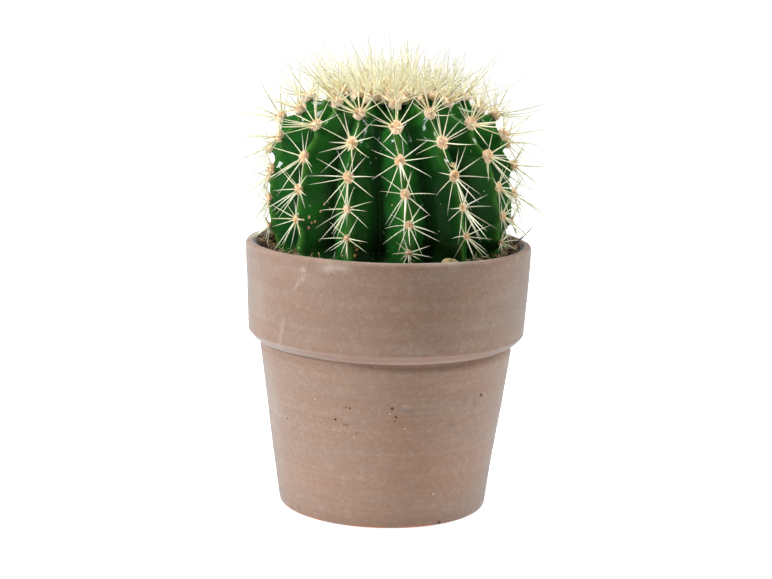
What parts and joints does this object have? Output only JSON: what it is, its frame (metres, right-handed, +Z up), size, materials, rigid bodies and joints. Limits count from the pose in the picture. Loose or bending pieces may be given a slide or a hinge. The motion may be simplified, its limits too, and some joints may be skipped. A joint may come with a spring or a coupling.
{
  "type": "potted round cactus",
  "caption": "Round ribbed cactus with stars of pale spines and a woolly crown, growing in soil in a plain clay flower pot with a thick collar; it stands on the pot's flat foot.",
  "frame": {"origin": "centre of the pot's foot, on the surface it stands on", "axes": "+Z up along the pot's axis; -Y is the front that the usual view looks at, +X is to the right of it"},
  "size_m": [0.1627, 0.1623, 0.242],
  "materials": {
    "clay": "matte",
    "soil": "matte",
    "skin": "satin",
    "spine": "satin",
    "wool": "matte",
    "bark": "matte"
  },
  "bodies": {
    "root": {"clay_pot": "clay", "potting_soil": "soil", "cactus_body": "skin", "spines_rib01_row1": "spine", "spines_rib01_row2": "spine", "spines_rib01_row3": "spine", "spines_rib01_row4": "spine", "spines_rib02_row1": "spine", "spines_rib02_row2": "spine", "spines_rib02_row3": "spine", "spines_rib02_row4": "spine", "spines_rib03_row1": "spine", "spines_rib03_row2": "spine", "spines_rib03_row3": "spine", "spines_rib03_row4": "spine", "spines_rib04_row1": "spine", "spines_rib04_row2": "spine", "spines_rib04_row3": "spine", "spines_rib04_row4": "spine", "spines_rib05_row1": "spine", "spines_rib05_row2": "spine", "spines_rib05_row3": "spine", "spines_rib05_row4": "spine", "spines_rib06_row1": "spine", "spines_rib06_row2": "spine", "spines_rib06_row3": "spine", "spines_rib06_row4": "spine", "spines_rib07_row1": "spine", "spines_rib07_row2": "spine", "spines_rib07_row3": "spine", "spines_rib07_row4": "spine", "spines_rib08_row1": "spine", "spines_rib08_row2": "spine", "spines_rib08_row3": "spine", "spines_rib08_row4": "spine", "spines_rib09_row1": "spine", "spines_rib09_row2": "spine", "spines_rib09_row3": "spine", "spines_rib09_row4": "spine", "spines_rib10_row1": "spine", "spines_rib10_row2": "spine", "spines_rib10_row3": "spine", "spines_rib10_row4": "spine", "spines_rib11_row1": "spine", "spines_rib11_row2": "spine", "spines_rib11_row3": "spine", "spines_rib11_row4": "spine", "spines_rib12_row1": "spine", "spines_rib12_row2": "spine", "spines_rib12_row3": "spine", "spines_rib12_row4": "spine", "spines_rib13_row1": "spine", "spines_rib13_row2": "spine", "spines_rib13_row3": "spine", "spines_rib13_row4": "spine", "woolly_crown": "wool", "bark_splinter": "bark"}
  },
  "joints": []
}
